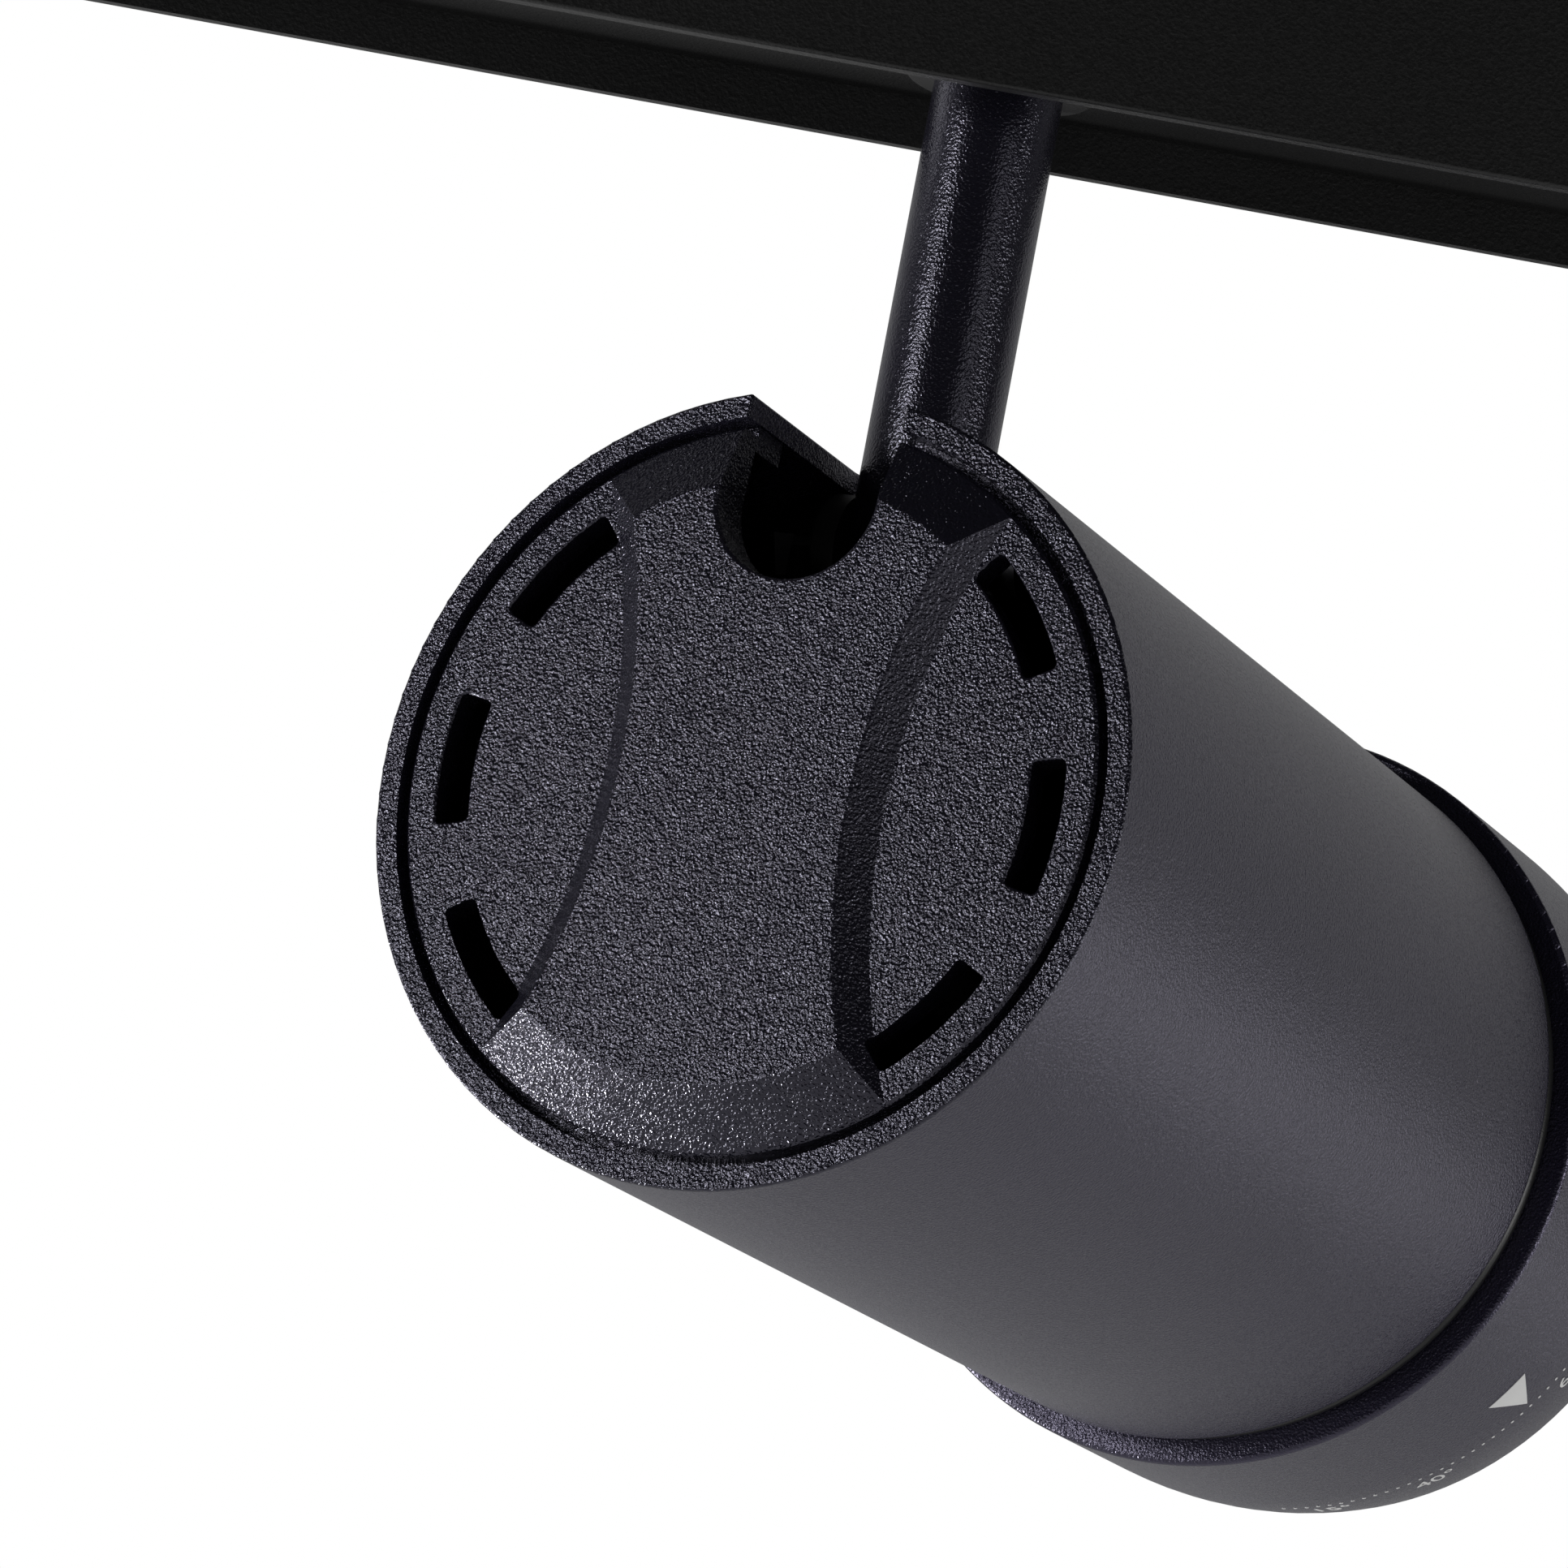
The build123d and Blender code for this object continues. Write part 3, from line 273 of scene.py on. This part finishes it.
MATERIALS = {
    "housing_black": powder_coat(
        "housing_black", (0.003, 0.003, 0.003), DULL_GREY, 3200.0, 0.00006, 0.45
    ),
    # The tube's coat and the cap's coat are one powder coat in two shades: the tube's lighter, more violet
    # base is painted light from the floor below, and the cap's darker base is painted shade for the cap's
    # upper bevels. The stem shares the cap's darker base.
    "head_grey": powder_coat("head_grey", (0.015, 0.0135, 0.025), VIOLET, 3800.0, 0.0001, 0.25),
    "cap_grey_painted_shade": powder_coat("cap_grey_painted_shade", (0.008, 0.0075, 0.013), BLUISH, 3600.0, 0.00016, 0.12),
    "stem_grey": powder_coat("stem_grey", (0.008, 0.0075, 0.013), BLUISH, 3800.0, 0.00007, 0.18),
    "collar_black": moulded_plastic("collar_black", (0.012, 0.012, 0.012), 0.35),
    "adapter_plastic": moulded_plastic("adapter_plastic", (0.015, 0.015, 0.016), 0.45),
    "lever_plastic": moulded_plastic("lever_plastic", (0.04, 0.04, 0.043), 0.4),
    "copper": worked_metal("copper", (0.85, 0.45, 0.27), 0.25),
    "steel": worked_metal("steel", (0.6, 0.6, 0.58), 0.3),
    "black_steel": worked_metal("black_steel", (0.06, 0.06, 0.065), 0.35),
    "aluminium": worked_metal("aluminium", (0.8, 0.8, 0.82), 0.35),
    "bright_aluminium": worked_metal("bright_aluminium", (0.92, 0.92, 0.93), 0.12),
    "circuit_green": moulded_plastic("circuit_green", (0.02, 0.16, 0.06), 0.3),
    "ferrite": moulded_plastic("ferrite", (0.03, 0.03, 0.035), 0.6, 3000.0, 0.00004),
    "white_plastic": moulded_plastic("white_plastic", (0.8, 0.8, 0.77), 0.4),
    "fibre_sheet": moulded_plastic("fibre_sheet", (0.6, 0.52, 0.35), 0.7, 2500.0, 0.00005),
    "phosphor": moulded_plastic("phosphor", (0.85, 0.6, 0.08), 0.5),
    "nylon_bush": moulded_plastic("nylon_bush", (0.02, 0.02, 0.02), 0.5),
    "sink_black": worked_metal("sink_black", (0.03, 0.03, 0.032), 0.45),
    "cable_sheath": moulded_plastic("cable_sheath", (0.75, 0.75, 0.75), 0.5),
    "clear_glass": clear_material("clear_glass", 1.5, 0.0),
    "clear_lens": clear_material("clear_lens", 1.49, 0.0),
    "marking": moulded_plastic("marking", (0.85, 0.85, 0.84), 0.5),
}
# Nodes that don't wear the material of their slot's name
NODE_FINISH = {"rear_cap": "cap_grey_painted_shade", "stem": "stem_grey", "stem_end": "stem_grey"}


SHARP_ANGLE = math.radians(24)


def crisp_shading(mesh):
    """Smooth over the curved faces only, so that every edge and bevel reads as one."""
    if "custom_normal" in mesh.attributes:
        mesh.attributes.remove(mesh.attributes["custom_normal"])
    mesh.shade_smooth()
    mesh.set_sharp_from_angle(angle=SHARP_ANGLE)


def dress_cad_nodes():
    slots = {part["node"]: part["material_slot"] for part in frame["record"]["subparts"]}
    for name, node in frame["nodes"].items():
        material = MATERIALS[NODE_FINISH.get(name, slots[name])]
        node.data.materials.clear()
        node.data.materials.append(material)
        crisp_shading(node.data)


RIM_SKIN = 1.0  # mm of the tube's rear end that has the cap's coat


def coat_rim(tube):
    """The tube's rear end has the rear cap's coat."""
    # The rim takes the cap's glossier grain and its darker base, which is painted shade
    tube.data.materials.append(MATERIALS["cap_grey_painted_shade"])
    for face in tube.data.polygons:
        ahead = (tube.matrix_world @ face.center - RIM_CENTRE).dot(FORWARD)
        if ahead < RIM_SKIN * MM:
            face.material_index = 1


# ---------------------------------------------------------------- markings on the zoom ring
def ring_radius(ahead):
    """The zoom ring's outer radius, in mm, at this distance ahead of the rear rim."""
    if ahead <= RING_SHOULDER:
        return RING_R
    along = (ahead - RING_SHOULDER) / (RING_FRONT - RING_EDGE - RING_SHOULDER)
    return RING_R - (RING_R - RING_FRONT_R - RING_EDGE_OUT) * along * along


def on_ring(ahead, angle, proud):
    """The point on the ring's skin, this far ahead of the rim and this angle from the top."""
    radius = ring_radius(ahead) + proud
    outward = UPWARD * math.cos(math.radians(angle)) + SIDEWAYS * math.sin(math.radians(angle))
    return RIM_CENTRE + (FORWARD * ahead + outward * radius) * MM


def across_ring(width):
    """The angle that this many millimetres take up round the ring."""
    return math.degrees(width / RING_R)


INK_TOP = 0.04  # mm above the ring's skin
INK_FOOT = -0.06
ARROW_REAR, ARROW_TIP = 135.6, 142.1
ARROW_ANGLE = -127.6
ARROW_HALF = 2.62
ARROW_STEPS = 8
DOT_LINE = 143.4
DOT_R = 0.2
DOT_SIDES = 10
DOT_PITCH = 1.3
DOT_FIRST, DOT_LAST = -171.0, -113.0
LABELS = (("60\u00b0", -119.5), ("40\u00b0", -147.0), ("15\u00b0", -164.5))
LABEL_FOOT = 147.4
LABEL_HEIGHT = 2.4
FONT_CAP_SHARE = 0.69  # a capital's height in the built-in font, over the font's size
FONT_STEPS = 3
SAME_POINT = 1e-7


def ink_skin(shape, rows):
    """A thin closed skin of ink over a grid of (ahead, angle) places on the ring."""
    sides = []
    for proud in (INK_TOP, INK_FOOT):
        sides.append([[shape.verts.new(on_ring(*place, proud)) for place in row] for row in rows])
    top, foot = sides
    last_row, last_column = len(rows) - 1, len(rows[0]) - 1
    for r in range(last_row):
        for c in range(last_column):
            shape.faces.new((top[r][c], top[r][c + 1], top[r + 1][c + 1], top[r + 1][c]))
            shape.faces.new((foot[r][c], foot[r + 1][c], foot[r + 1][c + 1], foot[r][c + 1]))
    for r in range(last_row):
        for c in (0, last_column):
            shape.faces.new((top[r][c], top[r + 1][c], foot[r + 1][c], foot[r][c]))
    for c in range(last_column):
        for r in (0, last_row):
            shape.faces.new((top[r][c], top[r][c + 1], foot[r][c + 1], foot[r][c]))


def ink_arrow(shape):
    rows = []
    for step in range(ARROW_STEPS + 1):
        share = step / ARROW_STEPS
        ahead = ARROW_REAR + (ARROW_TIP - ARROW_REAR) * share
        half = across_ring(ARROW_HALF * (1 - share))
        rows.append(
            [
                (ahead, ARROW_ANGLE + half * (2 * column / ARROW_STEPS - 1))
                for column in range(ARROW_STEPS + 1)
            ]
        )
    ink_skin(shape, rows)


def ink_dot(shape, ahead, angle):
    rims = []
    for proud in (INK_TOP, INK_FOOT):
        rim = []
        for corner in range(DOT_SIDES):
            turn = math.tau * corner / DOT_SIDES
            place = (
                ahead + DOT_R * math.cos(turn),
                angle + across_ring(DOT_R * math.sin(turn)),
            )
            rim.append(shape.verts.new(on_ring(*place, proud)))
        rims.append(rim)
    top, foot = rims
    shape.faces.new(top)
    shape.faces.new(foot[::-1])
    for corner in range(DOT_SIDES):
        following = (corner + 1) % DOT_SIDES
        shape.faces.new((top[corner], foot[corner], foot[following], top[following]))


def ink_label(shape, text, angle):
    """Numbers whose feet point ahead, laid round the ring."""
    data = bpy.data.curves.new("label", "FONT")
    data.body = text
    data.size = LABEL_HEIGHT / FONT_CAP_SHARE
    data.align_x = "CENTER"
    data.extrude = 1.0  # only tells top from foot; the ink's own depth is set below
    data.resolution_u = FONT_STEPS
    letters = bpy.data.objects.new("label", data)
    flat = bpy.data.meshes.new_from_object(letters)
    corners = []
    for vertex in flat.vertices:
        along, up, side = vertex.co
        place = (LABEL_FOOT - up, angle + across_ring(along))
        corners.append(shape.verts.new(on_ring(*place, INK_TOP if side > 0 else INK_FOOT)))
    for polygon in flat.polygons:
        shape.faces.new([corners[index] for index in polygon.vertices])
    bpy.data.objects.remove(letters)
    bpy.data.meshes.remove(flat)
    bpy.data.curves.remove(data)


def ink_marks(shape):
    ink_arrow(shape)
    dot_count = int(math.radians(DOT_LAST - DOT_FIRST) * RING_R / DOT_PITCH)
    for dot in range(dot_count + 1):
        ink_dot(shape, DOT_LINE, DOT_FIRST + across_ring(DOT_PITCH * dot))
    for text, angle in LABELS:
        ink_label(shape, text, angle)
    bmesh.ops.remove_doubles(shape, verts=shape.verts, dist=SAME_POINT)
    bmesh.ops.recalc_face_normals(shape, faces=shape.faces)


def mesh_piece(name, body, material, mesh_maker):
    mesh = bpy.data.meshes.new(name)
    shape = bmesh.new()
    mesh_maker(shape)
    shape.to_mesh(mesh)
    shape.free()
    piece = bpy.data.objects.new(name, mesh)
    bpy.context.scene.collection.objects.link(piece)
    piece.data.materials.append(MATERIALS[material])
    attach(piece, body)


# ---------------------------------------------------------------- stage
FLOOR_DROP = 1.2  # metres below the lamp
FLOOR_HALF = 12.0
FLOOR_COLOUR = (0.8, 0.8, 0.8)
FLOOR_ROUGHNESS = 0.7
FLOOR_GLOW = 0.25
WHITE = (1.0, 1.0, 1.0, 1.0)


def add_floor():
    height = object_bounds()[0][2] - FLOOR_DROP
    mesh = bpy.data.meshes.new("floor")
    corners = [(-1, -1), (1, -1), (1, 1), (-1, 1)]
    places = [(x * FLOOR_HALF, y * FLOOR_HALF, height) for x, y in corners]
    mesh.from_pydata(places, [], [(0, 1, 2, 3)])
    floor = bpy.data.objects.new("floor", mesh)
    bpy.context.scene.collection.objects.link(floor)
    material, _, _, shader = new_material("floor", FLOOR_COLOUR, FLOOR_ROUGHNESS)
    shader.inputs["Emission Color"].default_value = WHITE
    shader.inputs["Emission Strength"].default_value = FLOOR_GLOW
    floor.data.materials.append(material)


# Softboxes round the head: heading and height in degrees, size in metres, power in watts.
LIGHT_DISTANCE = 1.1
LIT_PLACE = Vector((0.02, 0.0, -0.09))  # what the softboxes face
SOFTBOXES = {
    "key_left": (197, -6, 0.25, 1.7),
    "key_front": (212, 4, 0.2, 1.8),
    "low_left": (163, -28, 0.2, 8.5),
    "right": (308, 8, 0.35, 0.28),
    "fill_right": (338, -8, 0.5, 2.7),
    "rim_right": (20, -15, 0.5, 0.76),
}
BACKDROP = 0.29  # brightness of the white backdrop behind the lamp
ROOM = 0.016  # brightness of the dark room in front of the lamp
BACKDROP_FROM, BACKDROP_FULL = 0.15, 0.6  # how far towards +Y the backdrop starts and is full


def add_softboxes():
    for name, (heading, height, size, power) in SOFTBOXES.items():
        data = bpy.data.lights.new(name, "AREA")
        data.shape = "DISK"
        data.size = size
        data.energy = power
        light = bpy.data.objects.new(name, data)
        bpy.context.scene.collection.objects.link(light)
        around, up = math.radians(heading), math.radians(height)
        towards = Vector(
            (math.cos(up) * math.cos(around), math.cos(up) * math.sin(around), math.sin(up))
        )
        light.location = LIT_PLACE + towards * LIGHT_DISTANCE
        light.rotation_euler = (-towards).to_track_quat("-Z", "Y").to_euler()


def add_world():
    """White to the eye; it lights the lamp as a backdrop on the far side of a dark room."""
    world = bpy.data.worlds.new("studio")
    bpy.context.scene.world = world
    world.use_nodes = True
    nodes, links = world.node_tree.nodes, world.node_tree.links
    plain = nodes["Background"]
    plain.inputs["Color"].default_value = WHITE
    split = nodes.new("ShaderNodeSeparateXYZ")
    links.new(nodes.new("ShaderNodeTexCoord").outputs["Generated"], split.inputs[0])
    behind = remap(
        nodes, links, split.outputs["Y"], BACKDROP_FROM, BACKDROP_FULL, ROOM, BACKDROP
    )
    studio = nodes.new("ShaderNodeBackground")
    links.new(behind, studio.inputs["Color"])
    choose = nodes.new("ShaderNodeMixShader")
    links.new(nodes.new("ShaderNodeLightPath").outputs["Is Camera Ray"], choose.inputs["Fac"])
    links.new(studio.outputs[0], choose.inputs[1])
    links.new(plain.outputs[0], choose.inputs[2])
    links.new(choose.outputs[0], nodes["World Output"].inputs["Surface"])


add_camera()
dress_cad_nodes()
coat_rim(frame["nodes"]["head_tube"])
mesh_piece("zoom_marks", "zoom", "marking", ink_marks)
add_floor()
add_softboxes()
add_world()
bpy.context.scene.view_settings.view_transform = "Standard"
